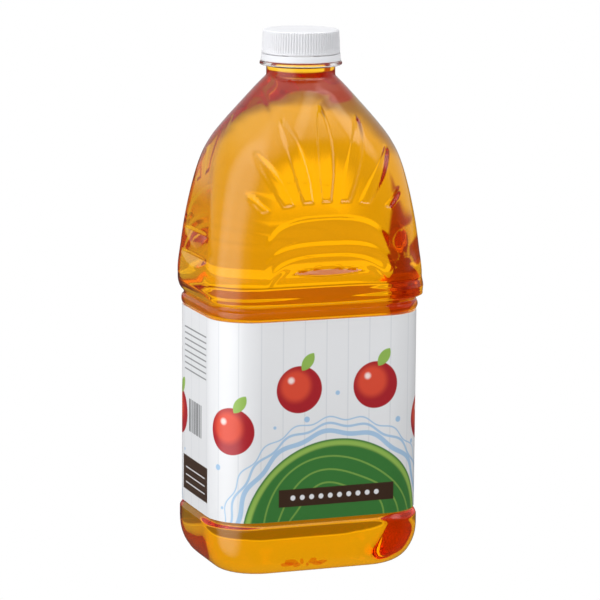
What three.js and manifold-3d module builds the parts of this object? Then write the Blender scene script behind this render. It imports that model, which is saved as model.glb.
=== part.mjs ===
// A shut plastic bottle of juice, standing on its foot: a thin clear shell with an oblong
// body, the drink inside it, a wrap-around label, a ribbed screw cap and its tamper band.
// Millimetres, +Z up, origin at the middle of the foot. The front panel faces -Y.
import * as THREE from 'three';
import { mergeVertices } from 'three/addons/utils/BufferGeometryUtils.js';
import Module from 'manifold-3d';

const wasm = await Module();
wasm.setup();

// Driving dimensions
const wallThickness = 2;
const pieceGap = 0.3;
const labelThickness = 0.4;
const labelBottom = 29.2;
const labelTop = 131.2;
const fillLevel = 254;

const neck = { radius: 17.4, bore: 15.2, bottom: 249.4, top: 270.5 };
const supportRing = { radius: 20.8, bottom: 254.7, top: 256.6, blend: 0.6 };
const foot = { ringWidth: 10, pushUp: 5, ribCount: 8, ribHeight: 1.2, domePower: 2.2 };
const cap = { bottomRadius: 19.8, topRadius: 19.2, bore: 17.8, bottom: 260.6, top: 272.4, crown: 1.6 };
const capRibs = { count: 86, depth: 0.35, bottom: 261.4, top: 271.2 };
const tamperBand = { radius: 20, bore: 17.8, bottom: 256.9, top: 260.3, bead: 0.25 };

// The body's outline as pairs of height and half width, from the top of the heel to the neck.
const outline = [
  ...[[20, 56.5], [25, 56.5]], // bulge over the heel
  ...[[28.8, 54.9], [131.4, 54.9]], // label panel
  ...[[132.4, 55.6], [134.2, 56], [135.9, 55.7]], // bead over the label
  ...[[137, 54.9], [138.1, 54.9]], // waist groove
  ...[[139.8, 56.1], [142, 57.1], [144.6, 57.6], [149, 57.6]], // hip
  ...[[163.7, 56.1], [184.2, 53.5], [200.6, 50.6]], // grip and fan
  ...[[210, 48], [218, 44.2], [226, 38.5]], // shoulder
  ...[[238, 28.2], [246, 20.8], [249.4, 17.4]], // cone up to the neck
];

// The body's section is a rounded rectangle with slightly bulging sides. From roundFrom to
// roundTo its depth grows to its width, and from turnFrom to turnTo its corners become a circle.
const heel = { height: 20, footHalfWidth: 43.7 };
const section = { depthLoss: 14.6, lossPower: 2.5, cornerShare: 0.4, crown: 0.6 };
const rounding = { roundFrom: 150, roundTo: 243, turnFrom: 165, turnTo: 245 };

// Relief pressed into the shoulder. The front and the back panel have a fan of petals and,
// under it, a grip of three nested arches, each a ledge, with a lens-shaped notch.
const fan = { originZ: 154, petalCount: 7, spacing: 15.2, halfAngle: 4.4, flare: 0.05, depth: 0.9 };
const fanEdge = { baseZ: 189.8, baseFall: 260, reach: 82, reachFall: 0.0115, softness: 1.2 };
const arches = [
  { halfWidth: 33, springZ: 166, rise: 17.2, exponent: 2.6, ledgeFall: 12 },
  { halfWidth: 35.5, springZ: 148, rise: 22.6, exponent: 3.3, ledgeFall: 7 },
  { halfWidth: 32, springZ: 150, rise: 14.6, exponent: 2.6, ledgeFall: 8 },
];
const ledge = { depth: 0.9, softness: 1.2 };
const notch = { z: 156, halfLength: 21, rise: 2.4, sag: 2.6, depth: 1.2 };
const reliefTop = 238;

// The two half-lens dents on each side of the shoulder, nearly flat along the top.
const sideDents = [
  { z: 172.6, halfLength: 18, rise: 0.4, sag: 9.5, depth: 1.2 },
  { z: 160.6, halfLength: 21.5, rise: 0.4, sag: 7, depth: 1.2 },
];
const lensEdge = { width: 0.9, taper: 3 };

const degrees = Math.PI / 180;
const clamp01 = (v) => Math.min(1, Math.max(0, v));
const smooth = (v) => clamp01(v) ** 2 * (3 - 2 * clamp01(v));

// Monotone cubic interpolation of the outline at height z.
function outlineAt(z) {
  const last = outline.length - 1;
  if (z >= outline[last][0]) return outline[last][1];
  const i = outline.findIndex((pair, k) => k < last && z <= outline[k + 1][0]);
  const slope = (k) => (outline[k + 1][1] - outline[k][1]) / (outline[k + 1][0] - outline[k][0]);
  const tangent = (k) => {
    if (k === 0) return slope(0);
    if (k === last) return slope(last - 1);
    const [before, after] = [slope(k - 1), slope(k)];
    return before * after <= 0 ? 0 : (2 * before * after) / (before + after);
  };
  const span = outline[i + 1][0] - outline[i][0];
  const t = (z - outline[i][0]) / span;
  return (
    outline[i][1] * (1 + 2 * t) * (1 - t) ** 2 +
    outline[i + 1][1] * t * t * (3 - 2 * t) +
    span * (tangent(i) * t * (1 - t) ** 2 - tangent(i + 1) * t * t * (1 - t))
  );
}

// The heel is a quarter ellipse from the foot up to the start of the outline.
function halfWidthAt(z) {
  if (z >= heel.height) return outlineAt(z);
  const reach = outline[0][1] - heel.footHalfWidth;
  return heel.footHalfWidth + reach * Math.sqrt(1 - (1 - z / heel.height) ** 2);
}

function sectionAt(z, inset = 0) {
  const { roundFrom, roundTo, turnFrom, turnTo } = rounding;
  const halfWidth = halfWidthAt(z);
  const up = clamp01((z - roundFrom) / (roundTo - roundFrom));
  const halfDepth = halfWidth - section.depthLoss * (1 - up ** section.lossPower);
  const turn = smooth((z - turnFrom) / (turnTo - turnFrom));
  const corner = section.cornerShare * halfWidth * (1 - turn) + halfDepth * turn;
  return { halfWidth: halfWidth - inset, halfDepth: halfDepth - inset, corner: corner - inset };
}

// How far a section reaches from its middle at an angle.
function sectionRadius({ halfWidth, halfDepth, corner }, angle) {
  const crown = section.crown * (1 - Math.min(1, corner / halfDepth));
  const [width, depth] = [halfWidth - crown, halfDepth - crown];
  const round = Math.min(corner, depth);
  const [flatX, flatY] = [width - round, depth - round];
  const [across, along] = [Math.abs(Math.cos(angle)), Math.abs(Math.sin(angle))];
  const side = width / Math.max(across, 1e-9);
  const front = depth / Math.max(along, 1e-9);
  const beside = flatX * along - flatY * across;
  let radius = flatX * across + flatY * along + Math.sqrt(Math.max(0, round ** 2 - beside ** 2));
  if (side * along < flatY) radius = side;
  else if (front * across < flatX) radius = front;
  const bulge = 2 - ((radius * across) / width) ** 2 - ((radius * along) / depth) ** 2;
  return radius + crown * Math.max(0, bulge);
}

// Angles round the body that are evenly spaced along the label panel's outline.
function evenAngles(count) {
  const panel = sectionAt(80);
  const steps = 3600;
  const point = (k) => {
    const angle = (k / steps) * 2 * Math.PI;
    const radius = sectionRadius(panel, angle);
    return new THREE.Vector2(radius * Math.cos(angle), radius * Math.sin(angle));
  };
  const lengths = [0];
  for (let k = 1; k <= steps; k++) lengths.push(lengths[k - 1] + point(k).distanceTo(point(k - 1)));
  return Array.from({ length: count }, (_, i) => {
    const wanted = (i / count) * lengths[steps];
    const k = lengths.findIndex((l) => l > wanted);
    const part = (wanted - lengths[k - 1]) / (lengths[k] - lengths[k - 1]);
    return ((k - 1 + part) / steps) * 2 * Math.PI;
  });
}

// How far the petals are pressed in at (across, z) on the front or back panel.
function fanDepth(across, z) {
  const radius = Math.hypot(across, z - fan.originZ);
  const angle = Math.abs(Math.atan2(across, z - fan.originZ)) / degrees;
  const nearest = Math.min(Math.round(angle / fan.spacing), (fan.petalCount - 1) / 2);
  const halfAngle = fan.halfAngle + fan.flare * (radius - (fanEdge.baseZ - fan.originZ));
  const fromSide = (halfAngle - Math.abs(angle - nearest * fan.spacing)) * degrees * radius;
  const fromBase = z - fanEdge.baseZ + across ** 2 / fanEdge.baseFall;
  const fromTip = fanEdge.reach - fanEdge.reachFall * angle ** 2 - radius;
  return fan.depth * smooth(Math.min(fromSide, fromBase, fromTip) / fanEdge.softness);
}

// One arch of the grip: deepest just under its outline and running out further down.
function archStep(arch, across, z) {
  const up = Math.max(0, z - arch.springZ) / arch.rise;
  const out = Math.abs(across) / arch.halfWidth;
  const inside = (1 - (up ** arch.exponent + out ** arch.exponent) ** (1 / arch.exponent)) * arch.rise;
  const crownZ = arch.springZ + arch.rise * Math.max(0, 1 - out ** arch.exponent) ** (1 / arch.exponent);
  const edge = smooth(inside / ledge.softness);
  return { edge, depth: ledge.depth * edge * (1 - smooth((crownZ - z) / arch.ledgeFall)) };
}

const gripDepth = (across, z) =>
  arches.reduce((deep, arch) => {
    const { edge, depth } = archStep(arch, across, z);
    return deep * (1 - edge) + depth;
  }, 0);

// A lens-shaped dent, sharp along its top edge and running out towards its lower edge.
function lensDepth(lens, across, z) {
  const share = 1 - (across / lens.halfLength) ** 2;
  if (share <= 0.01) return 0;
  const fromTop = lens.z + lens.rise * share - z;
  const down = clamp01(fromTop / ((lens.rise + lens.sag) * share));
  const taper = Math.min(1, lensEdge.taper * share);
  return lens.depth * smooth(fromTop / lensEdge.width) * (1 - down) * taper;
}

// How far the wall is pressed in at a point of the plain section.
function relief(x, y, z) {
  if (z < arches[1].springZ || z > reliefTop) return 0;
  const { halfWidth, halfDepth } = sectionAt(z);
  const onPanel = Math.abs(y) / halfDepth > Math.abs(x) / halfWidth;
  if (!onPanel) return sideDents.reduce((sum, dent) => sum + lensDepth(dent, y, z), 0);
  return lensDepth(notch, x, z) + fanDepth(x, z) + gripDepth(x, z);
}

// One closed ring of points at height z, pulled in by inset, with or without the relief.
function bodyRing(angles, z, inset = 0, withRelief = false) {
  const plainSection = sectionAt(z, inset);
  return angles.map((angle) => {
    const plain = sectionRadius(plainSection, angle);
    const [x, y] = [plain * Math.cos(angle), plain * Math.sin(angle)];
    const radius = plain - (withRelief ? relief(x, y, z) : 0);
    return new THREE.Vector3(radius * Math.cos(angle), radius * Math.sin(angle), z);
  });
}

const roundRing = (angles, radius, z) =>
  angles.map((angle) => new THREE.Vector3(radius * Math.cos(angle), radius * Math.sin(angle), z));

// The underside: the foot's flat ring, then a dome pushed up with radial ribs. The inside is
// pulled in by inset and clears the tops of the ribs.
function footRing(angles, share, inset = 0) {
  const halfWidth = (heel.footHalfWidth - foot.ringWidth) * share;
  const halfDepth = halfWidth - section.depthLoss * share;
  const corner = halfDepth * (1 - share) + section.cornerShare * halfWidth * share;
  return angles.map((angle) => {
    const radius = sectionRadius({ halfWidth, halfDepth, corner }, angle);
    const wave = inset ? 1 : 0.5 + 0.5 * Math.cos(foot.ribCount * angle);
    const dome = foot.pushUp * (1 - share ** foot.domePower);
    const z = dome + foot.ribHeight * Math.sin(Math.PI * share) * wave + inset;
    return new THREE.Vector3(radius * Math.cos(angle), radius * Math.sin(angle), z);
  });
}

// A closed solid through rings of equal count, listed from the bottom middle to the top middle.
function loft(rings) {
  const count = rings[0].length;
  const centre = (ring) =>
    ring.reduce((sum, p) => sum.add(p), new THREE.Vector3()).divideScalar(ring.length);
  const points = [centre(rings[0]), ...rings.flat(), centre(rings.at(-1))];
  const index = [];
  const at = (ring, i) => 1 + ring * count + (i % count);
  for (let i = 0; i < count; i++) {
    index.push(0, at(0, i + 1), at(0, i));
    for (let r = 0; r + 1 < rings.length; r++) {
      index.push(at(r, i), at(r, i + 1), at(r + 1, i));
      index.push(at(r, i + 1), at(r + 1, i + 1), at(r + 1, i));
    }
    index.push(points.length - 1, at(rings.length - 1, i), at(rings.length - 1, i + 1));
  }
  return new THREE.BufferGeometry().setFromPoints(points).setIndex(index);
}

function toManifold(geometry) {
  const bare = geometry.clone();
  bare.deleteAttribute('normal');
  bare.deleteAttribute('uv');
  const merged = mergeVertices(bare, 1e-4);
  const vertProperties = new Float32Array(merged.attributes.position.array);
  const triVerts = new Uint32Array(merged.index.array);
  return new wasm.Manifold(new wasm.Mesh({ numProp: 3, vertProperties, triVerts }));
}

function toGeometry(solid) {
  const mesh = solid.getMesh();
  const geometry = new THREE.BufferGeometry();
  geometry.setAttribute('position', new THREE.BufferAttribute(mesh.vertProperties, 3));
  geometry.setIndex(new THREE.BufferAttribute(mesh.triVerts, 1));
  geometry.computeVertexNormals();
  return geometry;
}

const range = (from, to, steps) =>
  Array.from({ length: steps + 1 }, (_, i) => from + ((to - from) * i) / steps);

const lathe = (profile, segments) =>
  new THREE.LatheGeometry(profile.map(([r, z]) => new THREE.Vector2(r, z)), segments).rotateX(Math.PI / 2);

// The heights of the rings inside the shell, which the drink's rings share.
const insideHeights = [...range(3, 28.8, 4), 131.4, 138.1, 142, ...range(148, 246, 8)];

// The inside of the shell up to a level in the neck, as a solid pulled in by inset.
function buildInside(inset, level) {
  const angles = evenAngles(28);
  const rings = [
    ...[0.4, 0.85].map((share) => footRing(angles, share, inset)),
    ...insideHeights.map((z) => bodyRing(angles, Math.max(z, inset + 1), inset)),
    roundRing(angles, neck.bore - inset + wallThickness, neck.bottom),
    roundRing(angles, neck.bore - inset + wallThickness, level),
  ];
  return toManifold(loft(rings));
}

// The shell: the relief is on the outside only, and the inside follows the plain section.
function buildBottle() {
  const angles = evenAngles(72);
  const heights = [
    ...[0, 0.6, 2, 4, 7, 11, 15, 20, 25, 28.8],
    ...[131.4, 132.4, 134.2, 135.9, 137, 138.1, 139.8, 142, 144.6],
    ...range(148, 230, 24),
    ...[234, 238, 242, 246],
  ];
  const outside = [
    ...[0.4, 0.75, 1].map((share) => footRing(angles, share)),
    ...heights.map((z) => bodyRing(angles, z, 0, true)),
    roundRing(angles, neck.radius, neck.bottom),
    roundRing(angles, neck.radius, neck.top),
  ];
  const { radius, bottom, top, blend } = supportRing;
  const ring = lathe(
    [
      [neck.bore + 0.8, bottom - blend],
      [neck.radius, bottom - blend],
      [radius - blend, bottom],
      [radius, bottom + blend],
      [radius, top - blend],
      [radius - blend, top],
      [neck.bore + 0.8, top],
      [neck.bore + 0.8, bottom - blend],
    ],
    40,
  );
  const hollow = buildInside(wallThickness, neck.top + 1);
  return toGeometry(toManifold(loft(outside)).add(toManifold(ring)).subtract(hollow));
}

// The drink: the inside of the shell with a gap all round, up to the fill level in the neck.
const buildJuice = () => toGeometry(buildInside(wallThickness + pieceGap, fillLevel));

// The label: a thin sleeve round the straight panel.
function buildLabel() {
  const angles = evenAngles(72);
  const sleeve = (outset, from, to) =>
    toManifold(loft([from, to].map((z) => bodyRing(angles, z, -outset))));
  const outer = sleeve(pieceGap + labelThickness, labelBottom, labelTop);
  return toGeometry(outer.subtract(sleeve(pieceGap, labelBottom - 0.4, labelTop + 0.3)));
}

// The cap: a drafted skirt with upright ribs, a small edge round the top and a flat crown.
function buildCap() {
  const angles = range(0, 2 * Math.PI, capRibs.count * 2).slice(0, -1);
  const draft = (cap.bottomRadius - cap.topRadius) / (cap.top - cap.bottom);
  const skirt = (z, ribDepth, inset = 0) =>
    angles.map((angle, i) => {
      const radius = cap.bottomRadius - draft * (z - cap.bottom) - inset - (i % 2 ? ribDepth : 0);
      return new THREE.Vector3(radius * Math.cos(angle), radius * Math.sin(angle), z);
    });
  const outside = loft([
    skirt(cap.bottom, 0),
    skirt(capRibs.bottom, capRibs.depth),
    skirt(capRibs.top, capRibs.depth),
    skirt(cap.top - 0.4, 0, 0.3),
    skirt(cap.top, 0, 1),
  ]);
  const depth = cap.top - cap.crown - cap.bottom;
  const bore = new THREE.CylinderGeometry(cap.bore, cap.bore, depth + 1, 48)
    .rotateX(Math.PI / 2)
    .translate(0, 0, cap.bottom + (depth - 1) / 2);
  return toGeometry(toManifold(outside).subtract(toManifold(bore)));
}

// The tamper band: the smooth ring left under the cap, with a small bead at its foot.
function buildTamperBand() {
  const { radius, bore, bottom, top, bead } = tamperBand;
  const profile = [
    [bore, bottom],
    [radius + bead, bottom],
    [radius + bead, bottom + 2 * bead],
    [radius, bottom + 3 * bead],
    [radius, top],
    [bore, top],
    [bore, bottom],
  ];
  return lathe(profile, 40);
}

const clearPlastic = new THREE.MeshStandardMaterial({
  color: 0xf2f4f4,
  roughness: 0.08,
  metalness: 0,
  transparent: true,
  opacity: 0.35,
});
const amberDrink = new THREE.MeshStandardMaterial({ color: 0xf0a21c, roughness: 0.1, metalness: 0 });
const printedFilm = new THREE.MeshStandardMaterial({ color: 0xf0f1f2, roughness: 0.35, metalness: 0 });
const whitePlastic = new THREE.MeshStandardMaterial({ color: 0xf4f4f6, roughness: 0.4, metalness: 0 });

const pieces = [
  ['bottle', buildBottle(), clearPlastic],
  ['juice', buildJuice(), amberDrink],
  ['label', buildLabel(), printedFilm],
  ['cap', buildCap(), whitePlastic],
  ['tamper_band', buildTamperBand(), whitePlastic],
];

const juiceBottle = new THREE.Group();
for (const [name, geometry, material] of pieces) {
  const mesh = new THREE.Mesh(geometry, material);
  mesh.name = name;
  juiceBottle.add(mesh);
}

export default juiceBottle;
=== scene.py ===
from math import cos, pi, radians, sin

import bpy
import numpy as np
from mathutils import Matrix, Vector


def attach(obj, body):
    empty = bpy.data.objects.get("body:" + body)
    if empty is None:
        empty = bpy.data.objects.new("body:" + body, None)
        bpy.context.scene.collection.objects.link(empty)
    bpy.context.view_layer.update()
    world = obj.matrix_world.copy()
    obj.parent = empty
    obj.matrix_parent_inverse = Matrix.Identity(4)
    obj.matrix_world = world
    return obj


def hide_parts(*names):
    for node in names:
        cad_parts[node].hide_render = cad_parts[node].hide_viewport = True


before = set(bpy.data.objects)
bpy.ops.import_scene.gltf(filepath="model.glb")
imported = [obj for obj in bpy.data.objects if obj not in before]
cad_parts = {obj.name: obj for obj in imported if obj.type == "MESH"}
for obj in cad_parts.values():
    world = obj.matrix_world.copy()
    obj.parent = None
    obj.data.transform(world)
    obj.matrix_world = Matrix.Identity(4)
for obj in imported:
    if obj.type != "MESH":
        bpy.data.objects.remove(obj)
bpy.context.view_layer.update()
scene = bpy.context.scene
mm = 0.001


# Shape of the body

# The outline in millimetres: height and half width, from the heel's top to the neck.
body = {
    "heelHeight": 20,
    "footHalfWidth": 43.7,
    "outline": [
        (20, 56.5), (25, 56.5),                              # bulge over the heel
        (28.8, 54.9), (131.4, 54.9),                         # label panel
        (132.4, 55.6), (134.2, 56), (135.9, 55.7),           # bead over the label
        (137, 54.9), (138.1, 54.9),                          # waist groove
        (139.8, 56.1), (142, 57.1), (144.6, 57.6), (149, 57.6),     # hip
        (163.7, 56.1), (184.2, 53.5), (200.6, 50.6),         # grip and fan
        (210, 48), (218, 44.2), (226, 38.5),                 # shoulder
        (238, 28.2), (246, 20.8), (249.4, 17.4),             # cone up to the neck
    ],
    "depthLoss": 14.6,        # how much less deep than wide the oblong part is, half to half
    "cornerShare": 0.4,       # corner radius as a share of the half width
    "crown": 0.6,             # how far the flat sides bulge
    "roundFrom": 150,         # from here to roundTo the depth grows to the width
    "roundTo": 243,
    "lossPower": 2.5,
    "turnFrom": 165,          # from here to turnTo the corners become a circle
    "turnTo": 245,
}
neck = {"radius": 17.4, "bottom": 249.4, "top": 270.5, "wall": 2.0, "level": 254}
supportRing = {"radius": 20.8, "bottom": 254.7, "top": 256.6, "blend": 0.6}
foot = {"ringWidth": 10, "pushUp": 5, "ribCount": 8, "ribHeight": 1.2, "domePower": 2.2}

# Relief of the shoulder, in millimetres and degrees
fan = {"originZ": 154, "petals": 7, "spacing": 15.2, "halfAngle": 4.4, "flare": 0.05, "depth": 1.1,
       "baseZ": 189.8, "baseFall": 260, "reach": 82, "reachFall": 0.0115, "softness": 1.2,
       "point": 34, "pointPower": 0.6}      # the length that each petal's tip takes to come to a point
arches = [
    {"halfWidth": 33, "springZ": 166, "rise": 17.2, "power": 2.6, "ledgeFall": 12, "edge": 1.8},
    {"halfWidth": 35.5, "springZ": 148, "rise": 22.6, "power": 3.3, "ledgeFall": 7, "edge": 2.6},
    {"halfWidth": 32, "springZ": 150, "rise": 14.6, "power": 2.6, "ledgeFall": 8, "edge": 1.8},
]
ledgeDepth = 1.2
notch = {"z": 156, "halfLength": 21, "rise": 2.2, "sag": 2.4, "depth": 2.5}
sideRibs = [
    {"z": 172.6, "halfLength": 18, "rise": 0.4, "sag": 9.5, "depth": 0.8},
    {"z": 160.6, "halfLength": 21.5, "rise": 0.4, "sag": 7, "depth": 0.8},
]
lensEdge = {"width": 0.9, "taper": 3}
panelEdge = {"front": 45, "back": 32, "fade": 8}      # where the wide panels' relief runs out
reliefTop = 238
backShare = 0.12              # the back's relief is shallower than the front's
rightShare = 0.1              # and the right side's than the left's

# The hip's roll round the front: heights and how far it stands out there.
hip = {"roll": [(138.2, 0), (139.0, 1.9), (139.8, 2.6), (142, 1.6), (144, 1.05), (145.5, 0.7),
                (147, 0.38), (148.5, 0), (149.5, 0)],
       "startY": 20, "fade": 12}

# Ring heights are a start, an end and a count, or a step where there is fine relief.
meshing = {"around": 372, "coarser": 3, "panelShare": 2.4, "cornerTaken": 0.7,
           "footRings": 18, "heelRings": 14,
           "bulge": (21.5, 29.5, 10), "panel": (45, 131, 5), "waist": (131.8, 147.4, 40),
           "ledges": (148, 192, 0.7), "petals": (192.6, 238.5, 1.35), "cone": (239.5, 249.2, 9)}


def smooth(v):
    t = np.clip(v, 0, 1)
    return t * t * (3 - 2 * t)


def monotone(points, z):
    # a smooth curve through the points that never swings past them
    xs, ys = np.array(points, float).T
    slopes = np.diff(ys) / np.diff(xs)
    product = slopes[:-1] * slopes[1:]
    total = slopes[:-1] + slopes[1:]
    inner = np.where(product > 0, 2 * product / np.where(total == 0, 1, total), 0)
    tangents = np.concatenate([slopes[:1], inner, slopes[-1:]])
    z = np.clip(z, xs[0], xs[-1])
    k = np.clip(np.searchsorted(xs, z, side="right") - 1, 0, len(xs) - 2)
    span = xs[k + 1] - xs[k]
    t = (z - xs[k]) / span
    start = ys[k] * (1 + 2 * t) * (1 - t) ** 2 + span * tangents[k] * t * (1 - t) ** 2
    end = ys[k + 1] * t * t * (3 - 2 * t) - span * tangents[k + 1] * t * t * (1 - t)
    return start + end


def halfWidthAt(z):
    # the heel is a quarter ellipse, and the rest follows the outline
    top = body["outline"][0][1]
    rise = np.clip(z / body["heelHeight"], 0, 1)
    heel = body["footHalfWidth"] + (top - body["footHalfWidth"]) * np.sqrt(1 - (1 - rise) ** 2)
    return np.where(z < body["heelHeight"], heel, monotone(body["outline"], z))


def sectionAt(z, inset=0.0):
    # half width, half depth and corner radius of the body at height z
    z = np.asarray(z, float)
    up = np.clip((z - body["roundFrom"]) / (body["roundTo"] - body["roundFrom"]), 0, 1)
    halfWidth = halfWidthAt(z)
    halfDepth = halfWidth - body["depthLoss"] * (1 - up ** body["lossPower"])
    turn = smooth((z - body["turnFrom"]) / (body["turnTo"] - body["turnFrom"]))
    corner = body["cornerShare"] * halfWidth
    corner = corner + (halfDepth - corner) * turn
    return halfWidth - inset, halfDepth - inset, corner - inset


def sectionRadius(section, angles, crown=body["crown"]):
    # a rounded rectangle whose sides bulge a little
    halfWidth, halfDepth, corner = section
    corner = np.minimum(corner, halfDepth - 0.001)
    crown = crown * (1 - corner / halfDepth)
    halfWidth, halfDepth = halfWidth - crown, halfDepth - crown
    corner = np.minimum(corner, halfDepth - 0.001)
    across, along = np.abs(np.cos(angles)), np.abs(np.sin(angles))
    flatX, flatY = halfWidth - corner, halfDepth - corner
    reach = corner ** 2 - (flatX * along - flatY * across) ** 2
    radius = flatX * across + flatY * along + np.sqrt(np.maximum(reach, 0))
    side = halfWidth / np.maximum(across, 1e-9)
    front = halfDepth / np.maximum(along, 1e-9)
    radius = np.where(side * along < flatY, side, np.where(front * across < flatX, front, radius))
    bulge = 2 - (radius * across / halfWidth) ** 2 - (radius * along / halfDepth) ** 2
    return radius + crown * np.maximum(bulge, 0)


def evenAngles(count, panelShare=1.0, height=80):
    # angles evenly spaced along the outline, or closer together on the wide panels
    fine = np.linspace(0, 2 * pi, 7201)
    section = sectionAt(height)
    radius = sectionRadius(section, fine)
    points = np.c_[radius * np.cos(fine), radius * np.sin(fine)]
    middle = (points[1:] + points[:-1]) / 2
    onPanel = np.abs(middle[:, 0]) < section[0] - meshing["cornerTaken"] * section[2]
    step = np.linalg.norm(np.diff(points, axis=0), axis=1) * np.where(onPanel, panelShare, 1)
    length = np.concatenate([[0], np.cumsum(step)])
    return np.interp(np.arange(count) / count * length[-1], length, fine)


def fanDepth(across, z):
    rise = z - fan["originZ"]
    radius = np.hypot(across, rise)
    angle = np.abs(np.degrees(np.arctan2(across, rise)))
    nearest = np.minimum(np.round(angle / fan["spacing"]), (fan["petals"] - 1) / 2)
    halfAngle = fan["halfAngle"] + fan["flare"] * (radius - (fan["baseZ"] - fan["originZ"]))
    fromBase = z - fan["baseZ"] + across ** 2 / fan["baseFall"]
    fromTip = fan["reach"] - fan["reachFall"] * angle ** 2 - radius
    halfAngle = halfAngle * np.clip(fromTip / fan["point"], 0, 1) ** fan["pointPower"]
    fromSide = np.radians(halfAngle - np.abs(angle - nearest * fan["spacing"])) * radius
    inside = np.minimum(np.minimum(fromSide, fromBase), fromTip)
    return fan["depth"] * smooth(inside / fan["softness"])


def gripDepth(across, z):
    # each arch is a ledge, deepest just under its outline and running out further down
    deep = 0.0
    for arch in arches:
        power = arch["power"]
        up = np.maximum(0, z - arch["springZ"]) / arch["rise"]
        out = np.abs(across) / arch["halfWidth"]
        inside = (1 - (up ** power + out ** power) ** (1 / power)) * arch["rise"]
        crownZ = arch["springZ"] + arch["rise"] * np.maximum(0, 1 - out ** power) ** (1 / power)
        edge = smooth(inside / arch["edge"])
        fall = 1 - smooth((crownZ - z) / arch["ledgeFall"])
        deep = deep * (1 - edge) + ledgeDepth * edge * fall
    return deep


def lensDepth(lens, across, z):
    # a lens-shaped dent, sharp along its top edge and running out to the bottom
    share = 1 - (across / lens["halfLength"]) ** 2
    top = lens["z"] + lens["rise"] * share
    bottom = lens["z"] - lens["sag"] * share
    down = np.clip((top - z) / np.maximum(top - bottom, 0.01), 0, 1)
    edge = smooth((top - z) / lensEdge["width"])
    taper = np.minimum(1, lensEdge["taper"] * share)
    return np.where(share > 0.01, lens["depth"] * edge * (1 - down) * taper, 0)


def relief(x, y, z):
    # how far the wall stands out from the plain section, less than 0 where it is pressed in
    halfWidth, halfDepth, _ = sectionAt(z)
    onPanel = np.abs(y) / halfDepth > np.abs(x) / halfWidth
    panel = lensDepth(notch, x, z) + fanDepth(x, z) + gripDepth(x, z)
    reach = np.where(y < 0, panelEdge["front"], panelEdge["back"])
    panel = panel * np.where(y < 0, 1, backShare) * smooth((reach - np.abs(x)) / panelEdge["fade"])
    side = sum(lensDepth(rib, y, z) for rib in sideRibs) * np.where(x < 0, 1, rightShare)
    inRange = (z >= arches[1]["springZ"]) & (z <= reliefTop)
    onHip = (z > hip["roll"][0][0]) & (z < hip["roll"][-1][0])
    roll = monotone(hip["roll"], z) * onHip
    roll = roll * smooth((-y - hip["startY"]) / hip["fade"])
    return roll - np.where(inRange, np.where(onPanel, panel, side), 0)


def bodyRing(angles, z, inset=0.0):
    plain = sectionRadius(sectionAt(z, inset), angles)
    x, y = plain * np.cos(angles), plain * np.sin(angles)
    radius = plain + relief(x, y, np.full_like(x, z))
    return np.c_[radius * np.cos(angles), radius * np.sin(angles), np.full_like(x, z)]


def roundRing(angles, radius, z):
    radius = np.broadcast_to(radius, angles.shape)
    return np.c_[radius * np.cos(angles), radius * np.sin(angles), np.full_like(angles, z)]


def footRing(angles, share, lift=0.0):
    # share runs from 0 at the middle of the push-up to 1 at the flat foot ring
    halfWidth = (body["footHalfWidth"] - foot["ringWidth"]) * share
    halfDepth = halfWidth - body["depthLoss"] * share
    corner = halfDepth * (1 - share) + body["cornerShare"] * halfWidth * share
    radius = sectionRadius((halfWidth, halfDepth, corner), angles)
    rib = np.sin(pi * share) * (0.5 + 0.5 * np.cos(foot["ribCount"] * angles))
    z = foot["pushUp"] * (1 - share ** foot["domePower"]) + foot["ribHeight"] * rib + lift
    return np.c_[radius * np.cos(angles), radius * np.sin(angles), z]


# Mesh making

def loft(name, rings, looped=False):
    # a closed mesh through rings, shut at both ends or joined last to first;
    # a ring may have a whole number of times the points of its neighbour
    starts = np.cumsum([0] + [len(ring) for ring in rings])
    points = np.concatenate(rings)
    faces, ringOfFace = [], []
    for r in range(len(rings) if looped else len(rings) - 1):
        upper = (r + 1) % len(rings)
        low, high, lowCount, highCount = starts[r], starts[upper], len(rings[r]), len(rings[upper])
        count = min(lowCount, highCount)
        lowStep, highStep = lowCount // count, highCount // count
        for k in range(count):
            bottom = [low + (k * lowStep + i) % lowCount for i in range(lowStep + 1)]
            top = [high + (k * highStep + i) % highCount for i in range(highStep + 1)]
            faces.append(bottom + top[::-1])
            ringOfFace.append(r)
    if not looped:
        for ring, start, flip in ((rings[0], starts[0], True), (rings[-1], starts[-2], False)):
            points = np.concatenate([points, [ring.mean(0)]])
            around = [start + k for k in range(len(ring))]
            for a, b in zip(around, around[1:] + around[:1]):
                faces.append([len(points) - 1, b, a] if flip else [len(points) - 1, a, b])
    mesh = bpy.data.meshes.new(name)
    mesh.from_pydata((points * mm).tolist(), [], [[int(v) for v in face] for face in faces])
    mesh.shade_smooth()
    mesh.set_sharp_from_angle(angle=radians(50))
    piece = bpy.data.objects.new(name, mesh)
    scene.collection.objects.link(piece)
    return piece, np.array(ringOfFace)


def dress(piece, node, material):
    piece.data.materials.append(material)
    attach(piece, "root")
    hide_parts(node)


# Materials

def newMaterial(name):
    material = bpy.data.materials.new(name)
    material.use_nodes = True
    nodes = material.node_tree.nodes
    return material, nodes, material.node_tree.links, nodes["Principled BSDF"]


def feed(links, value, socket):
    # a number is set on the socket, and an output is linked to it
    if isinstance(value, (int, float)):
        socket.default_value = value
    else:
        links.new(value, socket)


def mathNode(nodes, links, operation, *values):
    node = nodes.new("ShaderNodeMath")
    node.operation = operation
    for value, socket in zip(values, node.inputs):
        feed(links, value, socket)
    return node.outputs[0]


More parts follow.
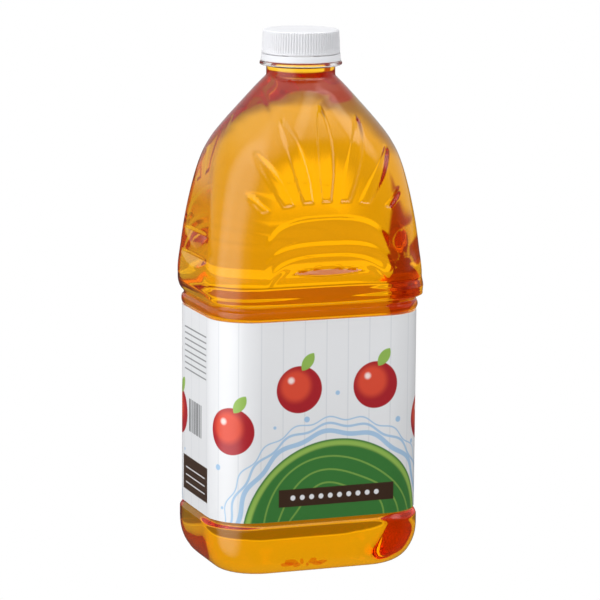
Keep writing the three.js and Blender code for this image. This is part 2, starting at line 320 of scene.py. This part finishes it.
def rangeNode(nodes, links, value, start, full, low=0, high=1):
    # low up to start, then smoothly to high at full
    node = nodes.new("ShaderNodeMapRange")
    node.interpolation_type = "SMOOTHSTEP"
    links.new(value, node.inputs["Value"])
    for socket, number in zip(("From Min", "From Max", "To Min", "To Max"), (start, full, low, high)):
        node.inputs[socket].default_value = number
    return node.outputs["Result"]


def nearness(nodes, links, direction, target):
    # the cosine of the angle between the two directions
    node = nodes.new("ShaderNodeVectorMath")
    node.operation = "DOT_PRODUCT"
    links.new(direction, node.inputs[0])
    node.inputs[1].default_value = target
    return node.outputs["Value"]


def addBump(nodes, links, shader, scale, distance, strength=1.0, detail=2.0):
    place = nodes.new("ShaderNodeTexCoord")
    noise = nodes.new("ShaderNodeTexNoise")
    noise.inputs["Scale"].default_value = scale
    noise.inputs["Detail"].default_value = detail
    bump = nodes.new("ShaderNodeBump")
    bump.inputs["Strength"].default_value = strength
    bump.inputs["Distance"].default_value = distance
    links.new(place.outputs["Object"], noise.inputs["Vector"])
    links.new(noise.outputs["Fac"], bump.inputs["Height"])
    links.new(bump.outputs["Normal"], shader.inputs["Normal"])
    return noise


# The wall is thin and wet inside, so the light bends once, at its outer face, as it does into the drink.
plastic = {"ior": 1.345, "roughness": 0.02, "tint": (0.985, 0.99, 0.99, 1), "coat": 0.25,
           "coatIor": 1.5, "wobble": 22, "wobbleDepth": 0.00008}
# absorbs is what a metre of juice takes from red, green and blue, and the glow is painted light: a red
# emission inside the juice that stands in for scattered light
drink = {"tint": (0.91, 0.57, 0.1, 1), "absorbs": (1.0, 4.8, 45.0),
         "glow": (1, 0.06, 0.0, 1), "glowStrength": 0.8}


def clearPlastic():
    material, nodes, links, shader = newMaterial("clearPlastic")
    shader.inputs["Base Color"].default_value = plastic["tint"]
    shader.inputs["Transmission Weight"].default_value = 1
    shader.inputs["IOR"].default_value = plastic["ior"]
    shader.inputs["Roughness"].default_value = plastic["roughness"]
    shader.inputs["Coat Weight"].default_value = plastic["coat"]
    shader.inputs["Coat IOR"].default_value = plastic["coatIor"]
    shader.inputs["Coat Roughness"].default_value = plastic["roughness"]
    addBump(nodes, links, shader, plastic["wobble"], plastic["wobbleDepth"], detail=1)
    return material


def wetPlastic():
    # the inner face against the drink, which neither bends nor mirrors
    material, nodes, links, shader = newMaterial("wetPlastic")
    shader.inputs["Base Color"].default_value = (1, 1, 1, 1)
    shader.inputs["Transmission Weight"].default_value = 1
    shader.inputs["IOR"].default_value = 1
    shader.inputs["Roughness"].default_value = 0
    return material


def amberDrink():
    material, nodes, links, shader = newMaterial("amberDrink")
    shader.inputs["Base Color"].default_value = drink["tint"]
    shader.inputs["Transmission Weight"].default_value = 1
    shader.inputs["IOR"].default_value = 1
    shader.inputs["Roughness"].default_value = 0
    volume = nodes.new("ShaderNodeVolumeAbsorption")
    most = max(drink["absorbs"])
    volume.inputs["Color"].default_value = (*[1 - a / most for a in drink["absorbs"]], 1)
    volume.inputs["Density"].default_value = most
    # painted glow: the juice gives off red light of its own, in place of scattered light
    paintedGlow = nodes.new("ShaderNodeEmission")
    paintedGlow.inputs["Color"].default_value = drink["glow"]
    paintedGlow.inputs["Strength"].default_value = drink["glowStrength"]
    both = nodes.new("ShaderNodeAddShader")
    links.new(volume.outputs["Volume"], both.inputs[0])
    links.new(paintedGlow.outputs["Emission"], both.inputs[1])
    links.new(both.outputs["Shader"], nodes["Material Output"].inputs["Volume"])
    return material


closurePlastic = {"colour": (0.67, 0.675, 0.70, 1), "roughness": 0.38, "softness": 0.15, "softDepth": 0.002,
                  "grain": 900, "grainDepth": 0.00002}


def whitePlastic():
    material, nodes, links, shader = newMaterial("whitePlastic")
    shader.inputs["Base Color"].default_value = closurePlastic["colour"]
    shader.inputs["Roughness"].default_value = closurePlastic["roughness"]
    shader.inputs["Subsurface Weight"].default_value = closurePlastic["softness"]
    shader.inputs["Subsurface Radius"].default_value = [closurePlastic["softDepth"]] * 3
    addBump(nodes, links, shader, closurePlastic["grain"], closurePlastic["grainDepth"])
    return material


film = {"roughness": 0.32, "coat": 0.25, "coatRoughness": 0.12, "ripple": 35, "rippleDepth": 0.0002,
        "back": (0.8, 0.8, 0.8, 1), "backRoughness": 0.6, "paintedBackGlow": 0.22}


def labelFilm(perimeter):
    # a printed film: u runs round the bottle from the middle of the front, v is the height, in mm
    material, nodes, links, shader = newMaterial("labelFilm")

    def math(operation, *values):
        return mathNode(nodes, links, operation, *values)

    def inside(value, limit, soft=0.25):
        # 1 where value is under the limit, with a soft edge
        return rangeNode(nodes, links, value, limit - soft, limit + soft, 1, 0)

    def fromPoint(across, point):
        x = math("SUBTRACT", across, point[0])
        z = math("SUBTRACT", height, point[1])
        return math("SQRT", math("ADD", math("MULTIPLY", x, x), math("MULTIPLY", z, z)))

    def disc(across, point, radius, soft=0.25):
        return inside(fromPoint(across, point), radius, soft)

    def ring(distance, radius, width, soft=0.25):
        return inside(math("ABSOLUTE", math("SUBTRACT", distance, radius)), width / 2, soft)

    def block(across, middle, size, soft=0.25):
        x = math("ABSOLUTE", math("SUBTRACT", across, middle[0]))
        z = math("ABSOLUTE", math("SUBTRACT", height, middle[1]))
        return math("MULTIPLY", inside(x, size[0] / 2, soft), inside(z, size[1] / 2, soft))

    def lines(value, spacing, width, soft=0.12):
        return inside(math("PINGPONG", value, spacing / 2), width / 2, soft)

    def paint(under, colour, mask, strength=1.0):
        mix = nodes.new("ShaderNodeMix")
        mix.data_type = "RGBA"
        links.new(math("MULTIPLY", mask, strength), mix.inputs["Factor"])
        if isinstance(under, tuple):
            mix.inputs[6].default_value = (*under, 1)
        else:
            links.new(under, mix.inputs[6])
        mix.inputs[7].default_value = (*colour, 1)
        return mix.outputs[2]

    place = nodes.new("ShaderNodeSeparateXYZ")
    links.new(nodes.new("ShaderNodeUVMap").outputs["UV"], place.inputs[0])
    around = math("MULTIPLY", place.outputs["X"], 1000)
    height = math("MULTIPLY", place.outputs["Y"], 1000)
    quarter = perimeter / 4
    front = math("WRAP", around, quarter, -quarter)
    side = math("WRAP", math("ADD", around, quarter), quarter, -quarter)

    look = paint(label["ground"], label["pinstripe"], lines(front, label["pinstripeGap"], 0.5, 0.3), 0.5)
    hillAt = fromPoint(front, label["hill"])
    hillX, hillZ = label["hill"]
    turn = math("ARCTAN2", math("SUBTRACT", front, hillX), math("SUBTRACT", height, hillZ))
    for k, (radius, width) in enumerate(label["waves"]):
        ripple = math("MULTIPLY", math("SINE", math("MULTIPLY", turn, 13 + 4 * k)), 1.1)
        look = paint(look, label["water"], ring(math("ADD", hillAt, ripple), radius, width), 0.85)
    for k in range(11):      # drops off the waves
        lean, out = radians(-75 + 15 * k), label["hillRadius"] + 13 + 3.5 * (k * 7 % 4)
        drop = (hillX + out * sin(lean), hillZ + out * cos(lean))
        look = paint(look, label["water"], disc(front, drop, 0.8 + 0.35 * (k * 5 % 3)), 0.9)
    look = paint(look, label["leaf"], inside(hillAt, label["hillRadius"]))
    look = paint(look, label["lightLeaf"], ring(hillAt, label["hillRadius"] - 2.2, 2.6, 0.8))
    for k in range(3):
        swathe = math("ADD", hillAt, math("MULTIPLY", math("SINE", math("MULTIPLY", turn, 3 + k)), 1.6))
        look = paint(look, label["lightLeaf"], ring(swathe, label["hillRadius"] - 9 - 7 * k, 0.9), 0.6)
    r = label["fruitRadius"]
    for degrees in label["fruitAt"]:
        reach = label["hillRadius"] + label["fruitOut"]
        x = hillX + reach * sin(radians(degrees))
        z = hillZ + reach * cos(radians(degrees))
        look = paint(look, label["fruitShade"], disc(front, (x, z), r))
        look = paint(look, label["fruit"], disc(front, (x - 0.16 * r, z + 0.16 * r), 0.66 * r, 2.2))
        look = paint(look, label["shine"], disc(front, (x - 0.36 * r, z + 0.4 * r), 0.13 * r, 0.9), 0.9)
        leafSides = [disc(front, (x + 1.5, z + 1.34 * r), 6.5), disc(front, (x + 7.5, z + 0.98 * r), 6.5)]
        look = paint(look, label["lightLeaf"], math("MULTIPLY", *leafSides))
    stripAt, stripSize = label["strip"]
    look = paint(look, label["bark"], block(front, stripAt, stripSize))
    dotX = math("SUBTRACT", math("PINGPONG", front, 5), 2.5)
    dotZ = math("SUBTRACT", height, stripAt[1])
    dots = math("SQRT", math("ADD", math("POWER", dotX, 2), math("POWER", dotZ, 2)))
    row = block(front, stripAt, (stripSize[0] - 12, 8))
    look = paint(look, label["ground"], math("MULTIPLY", inside(dots, 1.3), row))

    ruled = math("MULTIPLY", lines(height, 3.1, 0.75), block(side, *label["ruled"]))
    look = paint(look, label["ink"], ruled, 0.75)
    bars = math("MAXIMUM", lines(side, 2.3, 1.0), lines(math("ADD", side, 0.7), 3.9, 0.9))
    look = paint(look, label["ink"], math("MULTIPLY", bars, block(side, *label["bars"])))
    look = paint(look, label["bark"], block(side, *label["plate"]))
    rows = math("MULTIPLY", lines(height, 4, 0.7), block(side, *label["plateLines"]))
    look = paint(look, label["ground"], rows, 0.8)
    links.new(look, shader.inputs["Base Color"])
    shader.inputs["Roughness"].default_value = film["roughness"]
    shader.inputs["Coat Weight"].default_value = film["coat"]
    shader.inputs["Coat Roughness"].default_value = film["coatRoughness"]
    addBump(nodes, links, shader, film["ripple"], film["rippleDepth"])
    return material


def labelBack():
    # the film's inner side, with a painted glow: a plain white emission that stands in for light coming
    # through the film
    material, nodes, links, shader = newMaterial("labelBack")
    shader.inputs["Base Color"].default_value = film["back"]
    shader.inputs["Roughness"].default_value = film["backRoughness"]
    # painted glow, in place of the light that would come through the film
    shader.inputs["Emission Color"].default_value = (1, 1, 1, 1)
    shader.inputs["Emission Strength"].default_value = film["paintedBackGlow"]
    addBump(nodes, links, shader, film["ripple"], film["rippleDepth"])
    return material


label = {
    "ground": (0.83, 0.84, 0.86), "pinstripe": (0.6, 0.63, 0.67), "pinstripeGap": 11.5,
    "hill": (6, 20), "hillRadius": 50, "leaf": (0.045, 0.2, 0.04), "lightLeaf": (0.3, 0.5, 0.09),
    "water": (0.33, 0.55, 0.8), "waves": [(53.6, 2.4), (57.4, 1.2), (60.6, 0.7)],
    "fruitAt": (-45, -15, 15, 45), "fruitOut": 29, "fruitRadius": 12,
    "fruit": (0.75, 0.07, 0.03), "fruitShade": (0.42, 0.012, 0.02), "shine": (1, 0.85, 0.8),
    "bark": (0.05, 0.025, 0.014), "ink": (0.09, 0.095, 0.1),
    "strip": ((6, 41), (62, 9)),   # middle, then width and height, as for the side's blocks
    "ruled": ((0, 110), (34, 25)), "bars": ((0, 76), (20, 17)),
    "plate": ((0, 45), (38, 18)), "plateLines": ((0, 45), (30, 11)),
}


# Pieces

shell = {"wall": 0.6, "overlap": 0.25}
wrap = {"bottom": 29.2, "top": 131.2, "gap": 0.3, "thickness": 0.4, "around": 360}
closure = {"bottomRadius": 19.8, "topRadius": 19.2, "bore": 17.8, "bottom": 260.6, "top": 272.4,
           "crown": 1.6, "edge": 0.9, "ribs": 86, "ribDepth": 0.38, "ribBottom": 261.6, "ribTop": 271.0}
band = {"radius": 20, "bore": 17.8, "bottom": 256.9, "top": 260.3, "bead": 0.25}


def bodyRings(angles, inset):
    # fine rings where there is relief, coarser ones above and below
    coarse = angles[::meshing["coarser"]]
    rings = [footRing(coarse, share, inset) for share in np.linspace(0.04, 0.98, meshing["footRings"])]
    if not inset:
        rings.append(footRing(coarse, 1.0))
    heel = body["heelHeight"] * (1 - np.cos(np.linspace(0, pi / 2, meshing["heelRings"])))
    below = [heel] + [np.linspace(*meshing[part]) for part in ("bulge", "panel", "waist")]
    low = inset + 0.02
    rings += [bodyRing(coarse, max(z, low) if inset else z, inset) for z in np.concatenate(below)]
    fine = np.concatenate([np.arange(*meshing["ledges"]), np.arange(*meshing["petals"])])
    rings += [bodyRing(angles, z, inset) for z in fine]
    rings += [bodyRing(coarse, z, inset) for z in np.linspace(*meshing["cone"])]
    return rings


def makeBottle(material, wetMaterial):
    angles = evenAngles(meshing["around"], meshing["panelShare"])
    coarse = angles[::meshing["coarser"]]
    r, top, ring = neck["radius"], neck["top"], supportRing
    profile = [
        (r, neck["bottom"] + 0.4), (r, ring["bottom"] - ring["blend"]),
        (r + 0.6, ring["bottom"] - 0.15), (ring["radius"] - 0.6, ring["bottom"]),
        (ring["radius"] - 0.1, ring["bottom"] + 0.3), (ring["radius"], ring["bottom"] + 0.9),
        (ring["radius"] - 0.15, ring["top"] - 0.25), (ring["radius"] - 0.7, ring["top"]),
        (r + 0.4, ring["top"]), (r, ring["top"] + 0.3), (r, top - 0.4), (r - 0.4, top),
    ]
    outside = bodyRings(angles, 0) + [roundRing(coarse, radius, z) for radius, z in profile]
    bore = r - neck["wall"]
    inside = bodyRings(angles, shell["wall"])
    inside += [roundRing(coarse, bore, z) for z in (neck["bottom"] + 1.5, neck["level"])]
    dry = [roundRing(coarse, radius, z) for radius, z in ((bore, top - 0.3), (bore + 0.3, top))]
    bottle, ringOfFace = loft("bottleShell", outside + dry[::-1] + inside[::-1])
    dress(bottle, "bottle", material)
    bottle.data.materials.append(wetMaterial)
    firstWet = len(outside) + len(dry)
    wet = np.zeros(len(bottle.data.polygons), int)
    wet[:len(ringOfFace)] = ringOfFace >= firstWet
    wet[len(ringOfFace) + len(coarse):] = 1      # the middle of the foot's inner face
    bottle.data.polygons.foreach_set("material_index", wet)
    return bottle


def makeJuice(material):
    angles = evenAngles(meshing["around"], meshing["panelShare"])
    coarse = angles[::meshing["coarser"]]
    inset = shell["wall"] - shell["overlap"]
    radius = neck["radius"] - neck["wall"] + shell["overlap"]
    rings = bodyRings(angles, inset)
    rings += [roundRing(coarse, radius, z) for z in (neck["bottom"] + 1.5, neck["level"])]
    juice, _ = loft("juiceFill", rings)
    dress(juice, "juice", material)
    return juice


def makeLabel():
    # a sleeve that keeps the panel's section right up to its edges
    angles = evenAngles(wrap["around"])
    panel = sectionRadius(sectionAt(80), angles)
    outer, inner = wrap["gap"] + wrap["thickness"], wrap["gap"]
    low, high = wrap["bottom"], wrap["top"]
    corners = [(outer, low), (outer, high), (inner, high), (inner, low)]
    rings = [roundRing(angles, panel + out, z) for out, z in corners]
    sleeve, ringOfFace = loft("labelSleeve", rings, looped=True)

    fine = np.linspace(-1.5 * pi, 0.5 * pi, 2881)      # the seam is in the middle of the back
    reach = (sectionRadius(sectionAt(80), fine) + outer) * mm
    steps = np.hypot(np.diff(reach * np.cos(fine)), np.diff(reach * np.sin(fine)))
    length = np.concatenate([[0], np.cumsum(steps)])
    perimeter = length[-1]
    mesh = sleeve.data
    spots = np.array([mesh.vertices[loop.vertex_index].co for loop in mesh.loops])
    turn = np.arctan2(spots[:, 1], spots[:, 0])
    turn = np.where(turn > 0.5 * pi, turn - 2 * pi, turn)
    u = np.interp(turn, fine, length) - perimeter / 2
    for face in mesh.polygons:
        own = slice(face.loop_start, face.loop_start + face.loop_total)
        if np.ptp(u[own]) > perimeter / 2:
            u[own] = np.where(u[own] < 0, u[own] + perimeter, u[own])
    printMap = mesh.uv_layers.new(name="print")
    printMap.data.foreach_set("uv", np.c_[u, spots[:, 2]].ravel())
    dress(sleeve, "label", labelFilm(perimeter / mm))
    mesh.materials.append(labelBack())
    innerBand = 2
    mesh.polygons.foreach_set("material_index", np.where(ringOfFace == innerBand, 1, 0))
    return sleeve


def makeCap(material):
    perRib = 8
    angles = np.arange(closure["ribs"] * perRib) / (closure["ribs"] * perRib) * 2 * pi
    wave = (0.5 - 0.5 * np.cos(closure["ribs"] * angles)) ** 1.6
    draft = (closure["bottomRadius"] - closure["topRadius"]) / (closure["top"] - closure["bottom"])

    def skirt(z, ribShare=0.0, inset=0.0):
        radius = closure["bottomRadius"] - draft * (z - closure["bottom"]) - inset
        return roundRing(angles, radius - closure["ribDepth"] * ribShare * wave, z)

    under = closure["top"] - closure["crown"]
    rings = [roundRing(angles, closure["bore"] - 4, under), roundRing(angles, closure["bore"], under),
             roundRing(angles, closure["bore"], closure["bottom"]), skirt(closure["bottom"], 0, 0.15)]
    rings += [skirt(closure["bottom"] + 0.15), skirt(closure["ribBottom"] - 0.3)]
    rings += [skirt(z, 1) for z in np.linspace(closure["ribBottom"], closure["ribTop"], 5)]
    for turn in np.linspace(0.1, 1, 6) * pi / 2:
        rings.append(skirt(closure["top"] - closure["edge"] * (1 - sin(turn)), 1 - sin(turn),
                           closure["edge"] * (1 - cos(turn))))
    flat = closure["topRadius"] - closure["edge"]
    rings += [roundRing(angles, flat - step, closure["top"]) for step in (1, 6)]
    cap, _ = loft("screwCap", rings)
    dress(cap, "cap", material)
    return cap


def makeTamperBand(material):
    angles = np.linspace(0, 2 * pi, 288, endpoint=False)
    low, high, bead = band["bottom"], band["top"], band["bead"]
    profile = [
        (band["bore"], high), (band["bore"], low), (band["radius"], low),
        (band["radius"] + bead, low + 0.2), (band["radius"] + bead, low + 0.7),
        (band["radius"], low + 1.1), (band["radius"] - 0.05, high - 0.15), (band["radius"] - 0.2, high),
    ]
    ring, _ = loft("tamperBand", [roundRing(angles, radius, z) for radius, z in profile], looped=True)
    dress(ring, "tamper_band", material)
    return ring


# Stage

camera = {"azimuth": -20.2, "elevation": 10.2, "distance": 1.698, "focus": 199.8, "roll": 0.44,
          "lookAt": (0.00049, -0.00016, 0.134)}
# what is seen of the floor through the bottle: distance from the middle in metres and glow,
# and a brown card that lies behind on the right, from its near edge outwards
floor = {"size": 24,
         # the dim glow out to about 0.3 m from the middle is a painted shadow of the bottle on the floor
         "glow": [(0.13, 0.35), (0.19, 0.35), (0.28, 0.38), (0.4, 0.95), (0.75, 0.84), (1.0, 1.3)],
         "card": {"azimuth": 192, "inner": 5, "outer": 9, "from": (0.48, 0.51),
                  "colour": (0.42, 0.11, 0.05)}}
studio = {
    "backdrop": 1.0,          # what the camera sees past the floor
    "below": 0.12,            # share of the walls' light that comes from under the horizon
    "walls": 0.5,             # grey walls of the room
    "through": 1.8,           # how much brighter they are when seen through the bottle
    "ceiling": {"brightness": 1.1, "starts": 0.42, "full": 0.9},   # as sines of the elevation
    "flags": [(22, 25, 62, 0.12), (-60, 10, 28, 0.3)],    # dark cards: azimuth, inner, outer, kept light
    "horizon": -0.05,
    "tallness": 2.2,
    "softboxes": [
        # azimuth (0 is in front, 90 to the right), elevation, bright core, soft edge, brightness
        (-72, 14, 12, 42, 2.4),
        (60, 50, 8, 24, 2.4),
        (22, 62, 6, 24, 2.4),
    ],
}


def outward(azimuth, elevation):
    turn, lift = radians(azimuth), radians(elevation)
    return Vector((sin(turn) * cos(lift), -cos(turn) * cos(lift), sin(lift)))


def makeCamera():
    data = bpy.data.cameras.new("camera")
    data.lens = camera["focus"]
    data.sensor_width = 36
    data.clip_end = 60
    item = bpy.data.objects.new("camera", data)
    scene.collection.objects.link(item)
    back = outward(camera["azimuth"], camera["elevation"])
    item.location = Vector(camera["lookAt"]) + back * camera["distance"]
    aim = (-back).to_track_quat("-Z", "Y").to_matrix()
    item.rotation_euler = (aim @ Matrix.Rotation(radians(camera["roll"]), 3, "Z")).to_euler()
    scene.camera = item


def makeFloor():
    half = floor["size"] / 2
    mesh = bpy.data.meshes.new("floor")
    corners = [(-half, -half, 0), (half, -half, 0), (half, half, 0), (-half, half, 0)]
    mesh.from_pydata(corners, [], [(0, 1, 2, 3)])
    item = bpy.data.objects.new("floor", mesh)
    scene.collection.objects.link(item)
    material, nodes, links, shader = newMaterial("floorPaper")
    place = nodes.new("ShaderNodeTexCoord")
    distance = nodes.new("ShaderNodeVectorMath")
    distance.operation = "LENGTH"
    links.new(place.outputs["Object"], distance.inputs[0])
    # painted shadow: the floor's glow is dim round the bottle and full further out, by distance from the
    # middle
    ramp = nodes.new("ShaderNodeValToRGB")
    ramp.color_ramp.interpolation = "EASE"
    links.new(distance.outputs["Value"], ramp.inputs["Fac"])
    for k, (reach, glow) in enumerate(floor["glow"]):
        stop = ramp.color_ramp.elements[k] if k < 2 else ramp.color_ramp.elements.new(reach)
        stop.position = reach
        stop.color = (glow, glow, glow, 1)
    card = floor["card"]
    heading = nodes.new("ShaderNodeVectorMath")
    heading.operation = "NORMALIZE"
    links.new(place.outputs["Object"], heading.inputs[0])
    toCard = nearness(nodes, links, heading.outputs["Vector"], outward(card["azimuth"], 0))
    across = rangeNode(nodes, links, toCard, cos(radians(card["outer"])), cos(radians(card["inner"])))
    along = rangeNode(nodes, links, distance.outputs["Value"], *card["from"])
    covered = mathNode(nodes, links, "MULTIPLY", across, along)
    paint = nodes.new("ShaderNodeMix")
    paint.data_type = "RGBA"
    links.new(covered, paint.inputs["Factor"])
    paint.inputs[6].default_value = (1, 1, 1, 1)
    paint.inputs[7].default_value = (*card["colour"], 1)
    paper = nodes.new("ShaderNodeEmission")
    links.new(paint.outputs[2], paper.inputs["Color"])
    links.new(ramp.outputs["Color"], paper.inputs["Strength"])
    plain = nodes.new("ShaderNodeEmission")      # what the camera sees of the floor
    pick = nodes.new("ShaderNodeMixShader")
    links.new(nodes.new("ShaderNodeLightPath").outputs["Is Camera Ray"], pick.inputs[0])
    links.new(paper.outputs["Emission"], pick.inputs[1])
    links.new(plain.outputs["Emission"], pick.inputs[2])
    links.new(pick.outputs[0], nodes["Material Output"].inputs["Surface"])
    nodes.remove(shader)
    mesh.materials.append(material)
    item.visible_glossy = False      # keeps its glare off the clear walls


def makeWorld():
    # a grey room with a bright ceiling, two dark cards and tall softboxes, all soft edged
    world = bpy.data.worlds.new("studio")
    world.use_nodes = True
    nodes, links = world.node_tree.nodes, world.node_tree.links

    def math(operation, first, second):
        return mathNode(nodes, links, operation, first, second)

    def spot(direction, target, edge, core, low, high):
        # low outside the edge angle from the target, high inside the core angle
        near = nearness(nodes, links, direction, target)
        return rangeNode(nodes, links, near, cos(radians(edge)), cos(radians(core)), low, high)

    place = nodes.new("ShaderNodeTexCoord").outputs["Generated"]
    squash = nodes.new("ShaderNodeVectorMath")
    squash.operation = "MULTIPLY"
    links.new(place, squash.inputs[0])
    squash.inputs[1].default_value = (1, 1, 1 / studio["tallness"])
    tall = nodes.new("ShaderNodeVectorMath")
    tall.operation = "NORMALIZE"
    links.new(squash.outputs[0], tall.inputs[0])
    tall = tall.outputs[0]

    glow = studio["walls"]
    for azimuth, inner, outer, keeps in studio["flags"]:
        glow = math("MULTIPLY", spot(tall, outward(azimuth, 0), outer, inner, 1, keeps), glow)
    up = nearness(nodes, links, place, (0, 0, 1))
    rising = rangeNode(nodes, links, up, studio["horizon"], 0.0, studio["below"], 1)
    glow = math("MULTIPLY", glow, rising)
    ceiling = studio["ceiling"]
    overhead = rangeNode(nodes, links, up, ceiling["starts"], ceiling["full"], 0, ceiling["brightness"])
    glow = math("ADD", glow, overhead)
    path = nodes.new("ShaderNodeLightPath")
    boxes = 0.0
    for azimuth, elevation, core, edge, brightness in studio["softboxes"]:
        aim = outward(azimuth, elevation)
        aim.z /= studio["tallness"]
        boxes = math("ADD", boxes, spot(tall, aim.normalized(), edge, core, 0, brightness))
    # the boxes light and gloss the bottle, but aren't seen through it
    through = path.outputs["Is Transmission Ray"]
    brighter = math("MULTIPLY", through, studio["through"] - 1)
    glow = math("MULTIPLY", glow, math("ADD", 1, brighter))
    glow = math("ADD", glow, math("MULTIPLY", boxes, math("SUBTRACT", 1, through)))
    room = nodes["Background"]
    room.inputs["Color"].default_value = (1, 1, 1, 1)
    links.new(glow, room.inputs["Strength"])
    backdrop = nodes.new("ShaderNodeBackground")
    backdrop.inputs["Color"].default_value = (1, 1, 1, 1)
    backdrop.inputs["Strength"].default_value = studio["backdrop"]
    pick = nodes.new("ShaderNodeMixShader")
    links.new(path.outputs["Is Camera Ray"], pick.inputs[0])
    links.new(room.outputs[0], pick.inputs[1])
    links.new(backdrop.outputs[0], pick.inputs[2])
    links.new(pick.outputs[0], nodes["World Output"].inputs["Surface"])
    scene.world = world


makeCamera()
makeFloor()
makeWorld()
print("stage ready")
white = whitePlastic()
makeBottle(clearPlastic(), wetPlastic())
makeJuice(amberDrink())
print("bottle and juice made")
makeLabel()
makeCap(white)
makeTamperBand(white)
print("label and closure made")
scene.view_settings.view_transform = "Standard"
scene.cycles.max_bounces = 32
scene.cycles.transmission_bounces = 32
scene.cycles.glossy_bounces = 16
scene.cycles.diffuse_bounces = 12
